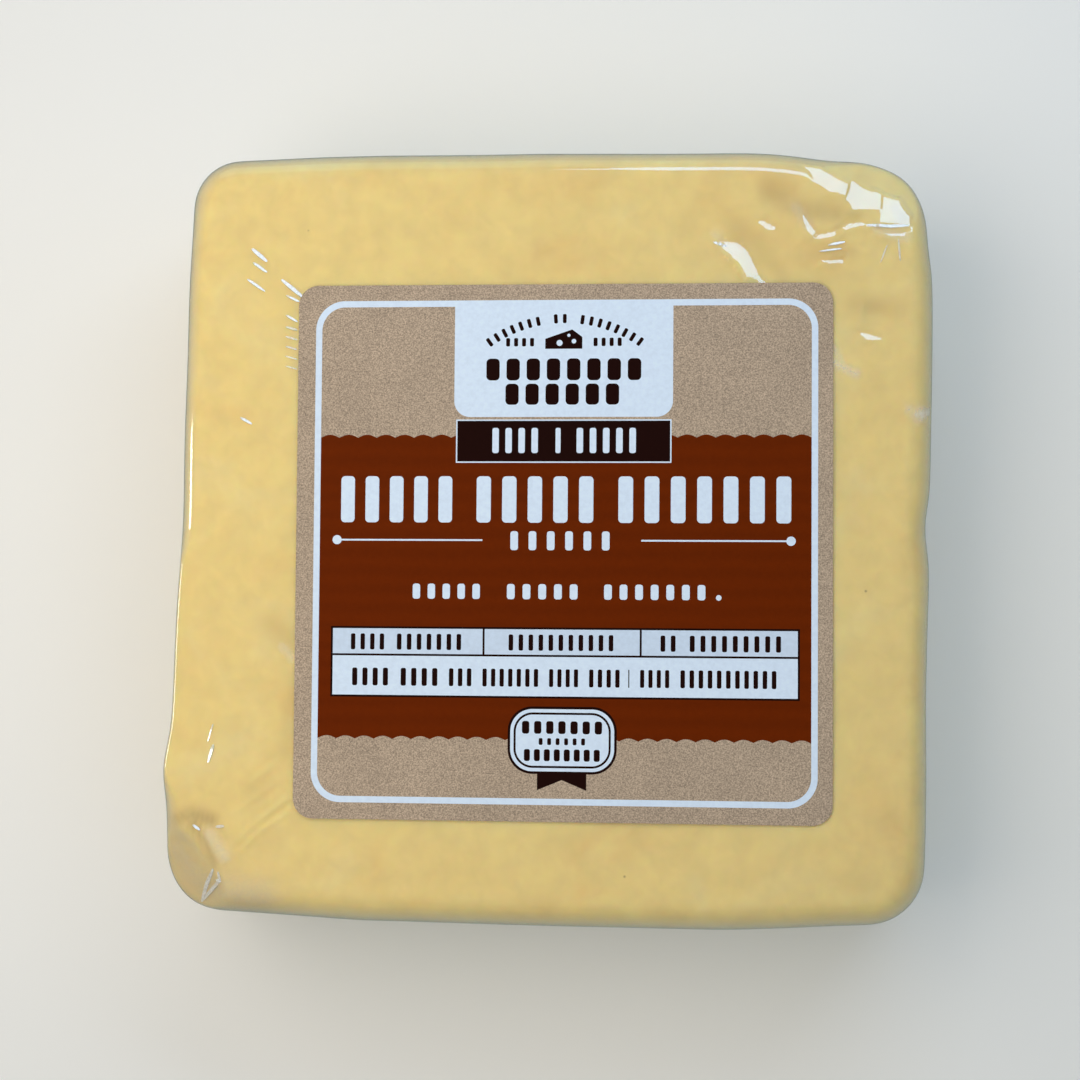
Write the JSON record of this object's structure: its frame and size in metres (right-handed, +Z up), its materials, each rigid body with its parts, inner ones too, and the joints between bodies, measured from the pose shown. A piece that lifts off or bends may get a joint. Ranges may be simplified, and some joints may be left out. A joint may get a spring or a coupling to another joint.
{
  "type": "sealed cheddar block",
  "caption": "Square block of pale yellow cheddar sealed in tight glossy clear film, with a square paper label stuck flat on its top face.",
  "frame": {"origin": "middle of the flat underside that the block rests on, under the middle of its bounding box", "axes": "+Z up out of the labelled face, +Y towards the label's upper edge, +X to the right when the label is read"},
  "size_m": [0.0916, 0.0928, 0.0258],
  "materials": {
    "cheese_in_film": "gloss",
    "label_paper": "matte"
  },
  "bodies": {
    "root": {"sealed_block": "cheese_in_film", "label": "label_paper"}
  },
  "joints": []
}
